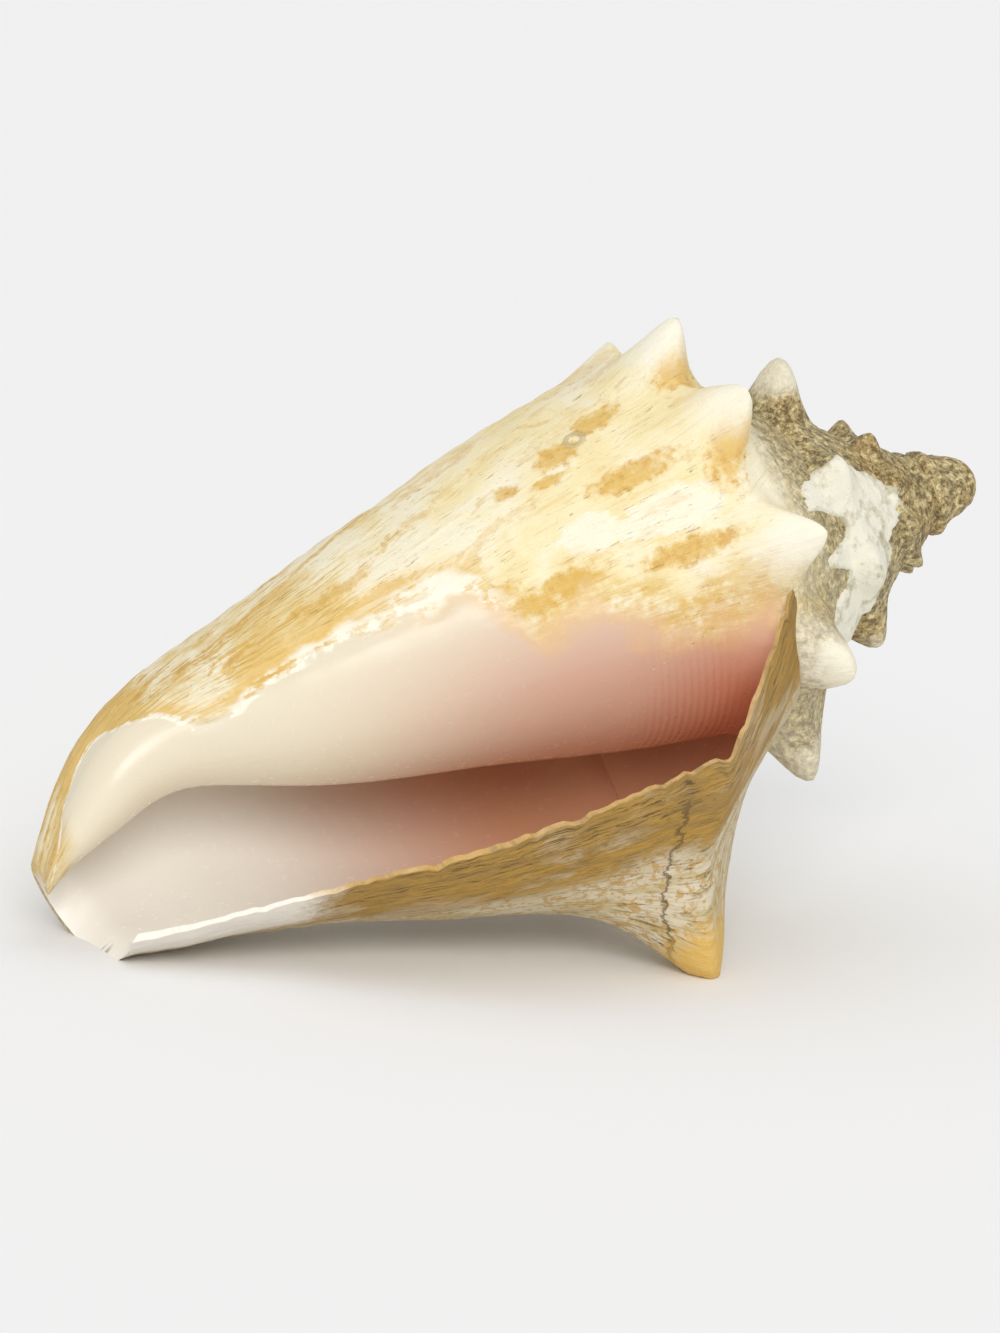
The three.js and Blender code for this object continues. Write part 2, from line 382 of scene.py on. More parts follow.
def placed(name: str, data: bpy.types.ID) -> bpy.types.Object:
    """Puts a new object with this data in the scene."""
    made = bpy.data.objects.new(name, data)
    bpy.context.scene.collection.objects.link(made)
    return made


class Surface(Enum):
    """Which way a lofted whorl's outer skin is worked out."""

    OUTSIDE = "outside"
    INSIDE = "inside"


@dataclass(frozen=True)
class Spine:
    """One shoulder spine, in millimetres and degrees."""

    turn: float
    height: float
    lean: float
    round: float
    along: float
    point: float = 1.6


@dataclass(frozen=True)
class Growth:
    """How the shell's outline grows as it coils."""

    rate: float = 1.65
    shoulder_along: float = 80.5
    shoulder_reach: float = 53.5
    reference_turn: float = 270.0
    suture_along: float = 50.0
    suture_reach: float = 29.0
    length: float = 193.0
    lip_shortfall: float = 9.0
    canal_start: float = 156.0
    canal_span: float = 37.0
    canal_drop: float = 20.0
    lip_turn: float = 354.0
    ramp_share: float = 0.22
    ramp_lag: float = 31.0
    side_lag: float = 27.0
    late_climb: float = 0.12
    climb_turns: tuple[float, float] = (285.0, 325.0)
    suture_margin: float = 1.045
    stations: tuple[float, ...] = (0.0, 0.2, 0.4, 0.6, 0.8, 0.9, 1.0)
    pillar_side: tuple[float, ...] = (1.0, 0.90, 0.73, 0.57, 0.31, 0.27, 0.05)
    middle_side: tuple[float, ...] = (1.0, 0.84, 0.64, 0.42, 0.20, 0.13, 0.035)
    lip_side: tuple[float, ...] = (1.0, 0.99, 0.91, 0.80, 0.72, 0.64, 0.48)
    spines: tuple[Spine, ...] = (
        Spine(283, 21.5, -3, 11, 12),
        Spine(233, 21, 4, 9, 9),
        Spine(193, 14, 12, 7, 7),
        Spine(159, 11, 20, 6, 6),
        Spine(127, 9, 28, 6, 6),
        Spine(94, 5, 45, 5, 5),
        Spine(66, 11.5, 43, 6, 6.5, 1.7),
        Spine(37, 10.5, 52, 6.5, 7, 2.0),
        Spine(-2, 12, 46, 6, 6.5, 1.7),
        Spine(-36, 12.5, 28, 7.5, 7.5, 2.1),
        Spine(-83, 12.5, -4, 7.5, 7, 2.0),
        Spine(-122, 9, 26, 5.5, 5.5, 1.8),
        Spine(-160, 8.5, 26, 5, 5, 1.8),
        Spine(-197, 8, 26, 5, 5, 1.8),
        Spine(-232, 7, 26, 4.5, 4.5, 1.8),
        Spine(-289, 10, 22, 4.8, 5, 2.4),
        Spine(-340, 4, 25, 4.4, 4.4, 2.0),
        Spine(-388, 3.5, 25, 4.2, 4.2, 2.0),
        Spine(-440, 5.5, 8, 5, 5, 2.4),
    )
    old_pitch: float = 38.0
    old_height: float = 4.0
    old_lean: float = 25.0
    old_width: float = 3.6
    old_count: int = 12
    old_shrink: float = 0.9
    wall: float = 3.0
    lip_wall: float = 1.0
    lip_taper: float = 40.0

    def size_at(self, turn: float) -> float:
        """How large the shell is at a turn, against the reference turn."""
        return self.rate ** ((turn - self.reference_turn) / 360)

    def scale(self, g: Graph, turn: Number) -> Field:
        """Works out the same size in a tree."""
        return g.math("POWER", self.rate, (turn - self.reference_turn) / 360)

    def all_spines(self) -> list[Spine]:
        """Lists the spines of the last whorl and of those before it.

        Returns:
            The spines, youngest first.
        """
        first = self.spines[-1].turn
        old = []
        for k in range(1, self.old_count + 1):
            turn = first - self.old_pitch * k
            size = self.rate ** ((turn - first) / 360)
            width = self.old_width * size
            height = self.old_height * size**self.old_shrink
            old.append(Spine(turn, height, self.old_lean, width, width, 2.0))
        return [*self.spines, *old]

    def lag(self, g: Graph, share: Number) -> Field:
        """Works out how far a growth line has fallen back at a share of its run.

        Args:
            g: The tree.
            share: The share.

        Returns:
            The lag in degrees.
        """
        ramp = g.least(share / self.ramp_share, 1.0) ** 0.8 * self.ramp_lag
        side = g.smooth(share, self.ramp_share, 1.0) * self.side_lag
        return ramp + side

    def side(self, g: Graph, turn: Number, u: Number) -> Field:
        """Works out the reach of the side as a share of the shoulder's.

        Args:
            g: The tree.
            turn: The azimuth.
            u: The share of the side, from shoulder to front end.

        Returns:
            The share of the shoulder's reach.
        """
        pillar, middle, lip = (
            g.curve(u, [(s, smooth_through(self.stations, values, s)) for s in fine_steps(24)])
            for values in (self.pillar_side, self.middle_side, self.lip_side)
        )
        young = g.lerp(middle, lip, g.smooth(turn, 60, 290))
        return g.lerp(pillar, young, g.smooth(turn, -90, 90))

    def outline(self, g: Graph, growth: Number, share: Number) -> tuple[Field, Field, Field]:
        """Works out the smooth outline.

        Args:
            g: The tree.
            growth: The turn at which the growth line leaves the suture.
            share: The share of its run.

        Returns:
            Along, reach and turn.
        """
        turn = growth - self.lag(g, share)
        size = self.scale(g, turn)
        climbed = size * self.climb(g, turn)
        q = g.least(share / self.ramp_share, 1.0)
        u = g.most((share - self.ramp_share) / (1 - self.ramp_share), 0.0)
        ramp_along = climbed * g.lerp(self.suture_along, self.shoulder_along, q**1.15)
        ramp_reach = size * g.lerp(self.suture_reach, self.shoulder_reach, q**0.95)
        side_along = g.lerp(climbed * self.shoulder_along, self.front(g, turn), u)
        side_reach = size * self.side(g, turn, u) * self.shoulder_reach
        on_side = share > self.ramp_share
        return g.lerp(ramp_along, side_along, on_side), g.lerp(ramp_reach, side_reach, on_side), turn

    def front(self, g: Graph, turn: Number) -> Field:
        """Works out where the whorl ends along the axis.

        Args:
            g: The tree.
            turn: The azimuth.

        Returns:
            The front end's place.
        """
        old = g.math("POWER", self.rate, g.least((turn + 150) / 360, 0.0)) * self.length
        return old - g.smooth(turn, 150, 320) * self.lip_shortfall

    def climb(self, g: Graph, turn: Number, ahead: float = 0.0) -> Field:
        """Works out how the shoulder climbs back towards the apex late in the last whorl.

        Args:
            g: The tree.
            turn: The azimuth.
            ahead: How many degrees further on the climb is read.

        Returns:
            The factor on the shoulder's place.
        """
        start, end = (edge - ahead for edge in self.climb_turns)
        return 1.0 - g.smooth(turn, start, end) * self.late_climb

    def drop(self, g: Graph, a: Number) -> Field:
        """Works out how far the canal is bent down at a place along the axis."""
        return g.most((a - self.canal_start) / self.canal_span, 0.0) ** 2.5 * self.canal_drop

    def spined(self, g: Graph, share: Number, a: Field, r: Field, turn: Field) -> tuple[Field, Field]:
        """Raises the spines on an outline.

        Args:
            g: The tree.
            share: The share of the growth line.
            a: Along.
            r: Reach.
            turn: The azimuth.

        Returns:
            Along and reach with the spines.
        """
        size = self.scale(g, turn)
        climbed = size * self.climb(g, turn)
        across = a - climbed * self.shoulder_along
        out = r - size * self.shoulder_reach
        side = (share > self.ramp_share) * 2.0 - 1.0
        far = g.math("SQRT", across * across + out * out) * side
        for spine in self.all_spines():
            own = self.size_at(spine.turn)
            pace = math.radians(1) * self.shoulder_reach * own / spine.round
            around = abs((turn - spine.turn) * pace) ** spine.point
            down = abs((far - own) / spine.along) ** spine.point
            rise = g.math("EXPONENT", -around - down) * spine.height
            r = rise * math.cos(math.radians(spine.lean)) + r
            a = rise * -math.sin(math.radians(spine.lean)) + a
        return a, r

    def below_suture(self, g: Graph, a: Number, turn: Number, rise: Number) -> Field:
        """Works out how far in front of the next whorl's suture a point lies, in millimetres.

        Args:
            g: The tree.
            a: Along.
            turn: The azimuth.
            rise: How far a spine has raised the point, which keeps it open.

        Returns:
            The distance, below 0 on the open spire.
        """
        climb = self.climb(g, turn, 360.0)
        open_spine = g.smooth(turn, 0, -12) * rise * 2.0
        suture = self.suture_along * self.rate * self.suture_margin
        return a - self.scale(g, turn) * climb * suture - open_spine

    def bend(self, g: Graph, a: Number, r: Number, turn: Number) -> bpy.types.NodeSocket:
        """Places a point in space, with the canal's bend.

        Args:
            g: The tree.
            a: Along.
            r: Reach.
            turn: The azimuth.

        Returns:
            The point.
        """
        angle = turn * math.radians(1)
        return g.vector(r * g.math("COSINE", angle), r * g.math("SINE", angle) - self.drop(g, a), a)


def fine_steps(count: int) -> list[float]:
    """Lists evenly spaced numbers from 0 to 1."""
    return [i / count for i in range(count + 1)]


def smooth_through(stations: Sequence[float], values: Sequence[float], u: float) -> float:
    """Reads a smooth curve through values given at stations.

    Args:
        stations: Where the values stand.
        values: The values.
        u: Where the curve is read.

    Returns:
        The curve's value.
    """
    last = len(stations) - 2
    i = max(k for k in range(last + 1) if k == 0 or u > stations[k])

    def slope(k: int) -> float:
        """The curve's slope at a station."""
        low, high = max(k - 1, 0), min(k + 1, last + 1)
        return (values[high] - values[low]) / (stations[high] - stations[low])

    span = stations[i + 1] - stations[i]
    t = (u - stations[i]) / span
    start = (2 * t**3 - 3 * t**2 + 1) * values[i] + (t**3 - 2 * t**2 + t) * span * slope(i)
    return start + (3 * t**2 - 2 * t**3) * values[i + 1] + (t**3 - t**2) * span * slope(i + 1)


@dataclass(frozen=True)
class Glaze:
    """The glazed callus that the animal laid over the side that its aperture faces.

    The edge is given as azimuth against distance along the axis.
    """

    edge: tuple[tuple[float, float], ...] = (
        (40, -17), (62, -17), (71, -17), (81, -10), (89, -1), (97, -4), (103, 7), (112, 20), (119, 19),
        (138, 14), (148, 6), (156, -6), (166, 25), (173, 56), (180, 86), (184, 78), (188, 30), (193, -50),
    )
    thickness: float = 0.45

    def inset(self, g: Graph, a: Number, turn: Number, place: bpy.types.NodeSocket) -> Field:
        """Works out how many degrees a point lies inside the glaze's ragged edge.

        Args:
            g: The tree.
            a: Along, without relief.
            turn: The azimuth.
            place: The point in millimetres, for the edge's raggedness.

        Returns:
            Degrees inside the edge, below 0 outside it.
        """
        ragged = (g.noise(place, 0.13, 3, 0.6) - 0.5) * 16 + (g.cells(place, 0.16) - 0.5) * 9
        return g.curve(a, self.edge) + ragged - turn


@dataclass(frozen=True)
class Loft:
    """One lofted stretch of the shell, from its oldest to its newest growth line."""

    oldest: float
    newest: float
    step: float
    rows: int


@dataclass
class WhorlTree:
    """A reusable tree that lofts a stretch of the shell, closed in to its bore."""

    surface: Surface
    shape: Growth = field(default_factory=Growth)
    glaze: Glaze = field(default_factory=Glaze)
    bore: float = 0.3
    core: float = 1.17
    overrun: float = 8.0
    chip: float = 2.6
    fillet: float = 4.0
    ramp_rows: float = 0.25
    side_pace: float = 1.15
    weld: float = 0.001

    def build(self) -> bpy.types.NodeTree:
        """Builds the tree.

        Returns:
            A group with the inputs Oldest, Step, Sections and Rows and a mesh in millimetres.
        """
        kinds = {"Oldest": "Float", "Step": "Float", "Sections": "Int", "Rows": "Int"}
        g, (oldest, step, sections, rows) = new_tree(f"whorl_{self.surface.value}", kinds)
        lines = sections + 3.0
        around = rows * 2.0 + 1.0
        grid = g.node("GeometryNodeMeshGrid", None, {"Vertices X": lines, "Vertices Y": around})
        index = g.node("GeometryNodeInputIndex").outputs[0]
        held = g.node("GeometryNodeFieldOnDomain", {"data_type": "INT", "domain": "POINT"}, {0: index})
        number = Field(g, held.outputs[0])
        line = g.math("FLOOR", (number + 0.5) / around)
        spot = number - line * around
        spot = spot * (spot < rows * 2.0 - 0.5)
        kept = (line > 0.5) * (line < sections + 1.5)
        outer = (spot < rows - 0.5) * kept
        mirrored = g.lerp(rows * 2.0 - 1.0 - spot, spot, spot < rows - 0.5)
        t = mirrored / (rows - 1.0)
        on_ramp = g.least(t / self.ramp_rows, 1.0) * self.shape.ramp_share
        on_side = g.most((t - self.ramp_rows) / (1 - self.ramp_rows), 0.0) ** self.side_pace
        share = on_ramp + on_side * (1 - self.shape.ramp_share)
        growth = oldest + step * g.most(g.least(line - 1.0, sections), 0.0)

        if self.surface is Surface.OUTSIDE:
            a, r, turn, base, rise = self.outside(g, growth, share)
        else:
            a, r, turn, base, rise = self.inside(g, growth, share, t)
        below = self.shape.below_suture(g, a, turn, rise)
        first, last = (self.shape.outline(g, growth, end) for end in (0.0, 1.0))
        past = self.overrun if self.surface is Surface.INSIDE else 0.0
        middle = g.lerp(first[0], last[0] + past, t)
        reach = g.lerp(self.bore, g.most(r, self.core), outer)
        place = self.shape.bend(g, g.lerp(middle, a, outer), reach, turn)
        shaped = g.moved(grid.outputs[0], place)
        layer = 1.0 if self.surface is Surface.INSIDE else 0.0
        marks = {"growth": growth, "share": share, "along": base, "turn": turn}
        marks |= {"rise": rise, "below": below, "layer": layer}
        for name, value in marks.items():
            shaped = store(g, shaped, name, value)
        welded = g.node("GeometryNodeMergeByDistance", None, {"Geometry": shaped, "Distance": self.weld})
        g.node("NodeGroupOutput", None, {0: welded.outputs[0]})
        return g.tree

    def outside(self, g: Graph, growth: Field, share: Field) -> tuple[Number, ...]:
        """Works out the outer face, with spines, growth relief, glaze and the chipped lip.

        Args:
            g: The tree.
            growth: The growth line.
            share: The share of its run.

        Returns:
            Along, reach, turn, along without relief and the spines' rise.
        """
        shape = self.shape
        teeth = g.noise(g.vector(share * 34, 3.0, 1.0), 1.0, 5, 0.65)
        chipped = g.smooth(teeth, 0.42, 0.75) * g.smooth(growth, 346, shape.lip_turn) * self.chip
        growth = growth - chipped
        base, reach, turn = shape.outline(g, growth, share)
        a, r = shape.spined(g, share, base, reach, turn)
        rise = r - reach
        size = shape.scale(g, turn)
        place = shape.bend(g, a, r, turn)
        size_small = g.least(size * 1.4, 1.0)
        lumps = (g.noise(place, 0.055, 3, 0.5) - 0.5) * 1.3 + (g.noise(place, 0.2, 4, 0.6) - 0.5) * 0.5
        drift = g.noise(place, 0.03, 2, 0.5) * 9
        lines = (g.noise(g.vector(growth * 0.33 + drift, share * 1.5, 7.0), 1.0, 4, 0.65) - 0.5) * 0.7
        late = g.smooth(turn, 200, 300)
        inset = self.glaze.inset(g, base, turn, place)
        glazed = g.smooth(inset, -3.0, 12.0) * g.smooth(shape.below_suture(g, a, turn, rise), 0.5, 2.5)
        bare = 1.0 - glazed
        ribs = g.math("SINE", share * 150 + g.noise(place, 0.05, 2, 0.5) * 6) * 0.13
        rough = (lumps + lines * (late + 0.6) + ribs * (1.0 - late * 0.6)) * (bare * 0.85 + 0.15)
        relief = (rough * size_small + glazed * self.glaze.thickness) * g.smooth(share, 0.0, 0.04)
        return a - relief * 0.3, r + relief, turn, base, rise

    def inside(self, g: Graph, growth: Field, share: Field, t: Field) -> tuple[Number, ...]:
        """Works out the inner face of the last whorl's wall, run out past the front end.

        Args:
            g: The tree.
            growth: The growth line.
            share: The share of its run.
            t: The row's place between suture and front end, 0 to 1.

        Returns:
            Along, reach, turn, along again for the marks, and no rise.
        """
        shape = self.shape
        nudge = 1e-3
        before = shape.outline(g, growth, g.most(share - nudge, 0.0))
        after = shape.outline(g, growth, g.least(share + nudge, 1.0))
        a, r, turn = shape.outline(g, growth, share)
        da, dr = after[0] - before[0], after[1] - before[1]
        length = g.math("SQRT", da * da + dr * dr)
        deep = g.smooth(growth, shape.lip_turn, shape.lip_turn - shape.lip_taper)
        wall = g.lerp(shape.lip_wall, shape.wall, deep) / length
        past = (t > 0.9999) * self.overrun
        fillet = g.math("EXPONENT", -(((share - shape.ramp_share) / 0.07) ** 2.0)) * self.fillet * deep
        return a + dr * wall + past + fillet * 0.5, r - da * wall - fillet, turn, a, 0.0


def store(
    g: Graph, geometry: bpy.types.NodeSocket, name: str, value: Number, domain: str = "CORNER"
) -> bpy.types.NodeSocket:
    """Stores a number on a mesh.

    Args:
        g: The tree.
        geometry: The mesh.
        name: The attribute's name.
        value: The number.
        domain: What carries it; face corners keep it whole through a cut.

    Returns:
        The mesh with the attribute.
    """
    made = g.node(
        "GeometryNodeStoreNamedAttribute",
        {"data_type": "FLOAT", "domain": domain},
        {"Geometry": geometry, "Name": name, "Value": value},
    )
    return made.outputs[0]


def baked(name: str, tree: bpy.types.NodeTree, values: Mapping[str, Value]) -> bpy.types.Object:
    """Runs a tree once and keeps its result as a plain mesh.

    Args:
        name: The new object's name.
        tree: The tree.
        values: The tree's inputs by name.

    Returns:
        The object, with no modifier.
    """
    carrier = placed(name, bpy.data.meshes.new(name))
    modifier = carrier.modifiers.new(name, "NODES")
    modifier.node_group = tree
    for item in tree.interface.items_tree:
        if item.item_type == "SOCKET" and item.in_out == "INPUT" and item.name in values:
            modifier[item.identifier] = values[item.name]
    evaluated = carrier.evaluated_get(bpy.context.evaluated_depsgraph_get())
    mesh = bpy.data.meshes.new_from_object(evaluated)
    carrier.modifiers.clear()
    carrier.data = mesh
    mesh.name = name
    return carrier


@dataclass(frozen=True)
class Rest:
    """How the shell lies: its axis slopes down and forward, then it settles on its worn points."""

    slope: float = 17.5
    yaw: float = 15.0
    pitch: float = 12.153
    roll: float = 3.416
    apex: tuple[float, float, float] = (85.265, 24.003, 85.091)

    def settle(self) -> Matrix:
        """The turn that settles the sloped shell on the floor."""
        pitched = Matrix.Rotation(-math.radians(self.pitch), 4, "X")
        return Matrix.Rotation(-math.radians(self.roll), 4, "Y") @ pitched

    def matrix(self) -> Matrix:
        """Works out the way from the shell's own axis, in millimetres, to its place in metres.

        Returns:
            The matrix.
        """
        slope, yaw = math.radians(self.slope), math.radians(self.yaw)
        level, fall = math.cos(slope), math.sin(slope)
        front = Vector((level * math.sin(yaw), -math.cos(yaw), fall * math.sin(yaw)))
        left = Vector((-fall, 0.0, level))
        ahead = Vector((-level * math.cos(yaw), -math.sin(yaw), -fall * math.cos(yaw)))
        pose = Matrix((front, left, ahead)).transposed().to_4x4()
        return Matrix.Scale(MM, 4) @ Matrix.Translation(self.apex) @ self.settle() @ pose

    def lay(self, piece: bpy.types.Object) -> None:
        """Lays a piece down and wears off what would pass the floor or the shell's box.

        Args:
            piece: The piece, about its own axis.
        """
        mesh = piece.data
        mesh.transform(self.matrix())
        low, high = (Vector(corner) for corner in CAD_BOX)
        low.z = max(low.z, 0.0)
        for vertex in mesh.vertices:
            vertex.co = Vector(min(max(c, lo), hi) for c, lo, hi in zip(vertex.co, low, high))
        mesh.update()


@dataclass
class ShellPiece:
    """The shell itself, all of one piece."""

    growth: Growth = field(default_factory=Growth)
    lofts: tuple[Loft, ...] = (Loft(162, 354, 1.2, 90), Loft(-18, 174, 1.2, 90))
    hollow: Loft = Loft(72, 360, 1.8, 72)
    rejoined: float = 42.0
    old_whorls: int = 5
    old_span: float = 336.0
    old_lap: float = 24.0
    old_steps: tuple[tuple[float, int], ...] = ((1.2, 88), (2.4, 66))
    pillar_start: float = 6.0
    pillar_radius: float = 1.3
    nose: tuple[tuple[float, float], ...] = (
        (0.0, 0.0), (0.04, 2.2), (0.12, 3.7), (0.33, 5.2), (0.6, 6.6), (0.9, 8.2), (0.97, 7.0), (1.0, 0.0),
    )
    nose_length: float = 12.0
    crease: float = 50.0

    def old_lofts(self) -> list[Loft]:
        """Lists the lofts of the whorls before the last one, youngest first.

        Returns:
            The lofts.
        """
        made = []
        newest = self.rejoined
        for whorl in range(self.old_whorls):
            step, rows = self.old_steps[0 if whorl == 0 else 1]
            made.append(Loft(newest - self.old_span, newest, step, rows))
            newest += self.old_lap - self.old_span
        return made

    def build(self, finish: bpy.types.Material) -> bpy.types.Object:
        """Builds the shell about its own axis, in millimetres.

        Args:
            finish: The shell's material.

        Returns:
            The shell's object.
        """
        g, (crease,) = new_tree("conch_shell", {"Crease angle": "Float"})
        outside = WhorlTree(Surface.OUTSIDE, self.growth).build()
        inside = WhorlTree(Surface.INSIDE, self.growth).build()
        last = self.joined(g, [self.loft(g, outside, loft) for loft in self.lofts])
        cut = g.node("GeometryNodeMeshBoolean", {"operation": "DIFFERENCE", "solver": "MANIFOLD"})
        g.feed(cut.inputs["Mesh 1"], last)
        g.feed(cut.inputs["Mesh 2"], self.loft(g, inside, self.hollow))
        parts = [cut.outputs[0], *(self.loft(g, outside, loft) for loft in self.old_lofts())]
        whole = self.joined(g, [*parts, self.pillar(g), self.apex(g)])
        angle = Field(g, g.node("GeometryNodeInputMeshEdgeAngle").outputs[0])
        sharp = angle > crease * math.radians(1)
        smooth = g.node("GeometryNodeSetShadeSmooth", {"domain": "FACE"}, {0: whole, "Shade Smooth": True})
        creased = g.node(
            "GeometryNodeSetShadeSmooth",
            {"domain": "EDGE"},
            {0: smooth.outputs[0], "Selection": sharp, "Shade Smooth": False},
        )
        g.finish(creased.outputs[0], finish)
        return baked("conch_shell", g.tree, {"Crease angle": self.crease})

    def loft(self, g: Graph, tree: bpy.types.NodeTree, loft: Loft) -> bpy.types.NodeSocket:
        """Adds one loft to the shell's tree.

        Args:
            g: The tree.
            tree: The whorl group.
            loft: Its size.

        Returns:
            The loft's mesh.
        """
        step = loft.step
        values = {
            "Oldest": float(loft.oldest),
            "Step": step,
            "Sections": round((loft.newest - loft.oldest) / step),
            "Rows": loft.rows,
        }
        return g.node("GeometryNodeGroup", {"node_tree": tree}, values).outputs[0]

    def joined(self, g: Graph, parts: Sequence[bpy.types.NodeSocket]) -> bpy.types.NodeSocket:
        """Joins solids into one.

        Args:
            g: The tree.
            parts: The solids.

        Returns:
            The joined solid.
        """
        made = g.node("GeometryNodeMeshBoolean", {"operation": "UNION", "solver": "MANIFOLD"})
        for part in parts:
            g.feed(made.inputs["Mesh 2"], part)
        return made.outputs[0]

    def marked(self, g: Graph, mesh: bpy.types.NodeSocket) -> bpy.types.NodeSocket:
        """Marks a part as old spire.

        Args:
            g: The tree.
            mesh: The part.

        Returns:
            The marked part.
        """
        marks = {"growth": -2000.0, "share": 0.1, "along": 10.0, "turn": -2000.0, "below": -9.0}
        for name, value in marks.items():
            mesh = store(g, mesh, name, value)
        return mesh

    def pillar(self, g: Graph) -> bpy.types.NodeSocket:
        """Adds the solid centre that closes the bore.

        Args:
            g: The tree.

        Returns:
            The centre's mesh.
        """
        start, end = self.pillar_start, self.growth.length - 1.0
        size = {"Vertices": 24, "Side Segments": 90, "Radius": self.pillar_radius, "Depth": end - start}
        rod = g.node("GeometryNodeMeshCylinder", None, size)
        x, y, z = g.position()[1]
        a = z + (start + end) / 2
        bent = g.moved(rod.outputs["Mesh"], g.vector(x, y - self.growth.drop(g, a), a))
        return self.marked(g, bent)

    def apex(self, g: Graph) -> bpy.types.NodeSocket:
        """Adds the worn, rounded tip of the spire.

        Args:
            g: The tree.

        Returns:
            The tip's mesh.
        """
        ball = g.node("GeometryNodeMeshUVSphere", None, {"Segments": 72, "Rings": 48, "Radius": 1.0})
        where, (x, y, z) = g.position()
        t = (1.0 - z) / 2.0
        flat = g.most(g.math("SQRT", x * x + y * y), 1e-4)
        reach = g.curve(t, self.nose) * (g.noise(where, 1.6, 4, 0.6) * 0.35 + 0.82)
        place = g.vector(x / flat * reach, y / flat * reach, t * self.nose_length)
        return self.marked(g, g.moved(ball.outputs["Mesh"], place))


@dataclass
class ShellMarks:
    """What the shell's shader knows of a point: its place in the growth, and noises read there."""

    g: Graph
    arc_pace: float = 0.93
    scar_along: float = 79.5
    scar_turn: float = 53.0
    scar_pace: float = 0.64
    crack_share: float = 0.278

    def __post_init__(self) -> None:
        """Reads the marks and the noises that several finishes share."""
        g = self.g
        self.growth, self.share, self.along, self.turn, self.rise, self.below, self.layer = (
            Field(g, g.node("ShaderNodeAttribute", {"attribute_name": name}).outputs["Fac"])
            for name in ("growth", "share", "along", "turn", "rise", "below", "layer")
        )
        self.here = g.millimetres()
        arc = self.growth * self.arc_pace
        self.broad = g.noise(self.here, 0.06, 4, 0.55, 0.4)
        self.patch = g.noise(g.vector(arc, self.along * 0.6, 2.0), 0.085, 5, 0.62, 0.6)
        self.fine = g.noise(self.here, 0.5, 5, 0.65)
        self.specks = g.noise(self.here, 1.7, 3, 0.7)
        self.streak = g.noise(g.vector(arc, self.along * 0.2, 1.0), 0.5, 5, 0.68, 0.5)
        self.thread = g.noise(g.vector(arc, self.along * 0.1, 5.0), 1.7, 4, 0.72, 0.9)
        self.inset = Glaze().inset(g, self.along, self.turn, self.here)
        self.on_side = g.smooth(self.below, 0.5, 2.0)
        self.left = g.smooth(self.along, 92, 150)
        frayed = self.inset + (self.fine - 0.5) * 9 + (self.patch - 0.5) * 8
        strip = g.smooth(self.share, 0.985, 0.955)
        self.glazed = g.smooth((frayed + 5.0) / g.lerp(13.0, 6.5, self.left)) * self.on_side * strip
        off_along = self.along - self.scar_along
        off_turn = (self.turn - self.scar_turn) * self.scar_pace
        far = g.math("SQRT", off_along * off_along + off_turn * off_turn) + (self.fine - 0.5) * 0.8
        self.scar = g.smooth(abs(far + (self.specks - 0.5) * 1.6 - 1.6), 0.8, 0.2)
        course = abs(self.share - self.crack_share + (self.streak - 0.5) * 0.04 + (self.fine - 0.5) * 0.03)
        run = g.smooth(self.growth, 310, 318) * g.smooth(self.growth, 350, 344)
        self.crack = g.smooth(course, 0.004, 0.0005) * run


def oval(a: Field, turn: Field, patch: Patch) -> Field:
    """Gives 1 in an oval patch's middle and 0 at its edge.

    Args:
        a: Along.
        turn: The azimuth.
        patch: The patch's middle, along and azimuth, and its half-widths the same way.

    Returns:
        The value, below 0 outside the patch.
    """
    along, around, half_along, half_around = patch
    return 1.0 - ((a - along) / half_along) ** 2.0 - ((turn - around) / half_around) ** 2.0


def widest(g: Graph, a: Field, turn: Field, patches: Sequence[Patch]) -> Field:
    """Joins oval patches.

    Args:
        g: The tree.
        a: Along.
        turn: The azimuth.
        patches: The patches.

    Returns:
        The largest of their values.
    """
    whole = oval(a, turn, patches[0])
    for patch in patches[1:]:
        whole = g.most(whole, oval(a, turn, patch))
    return whole


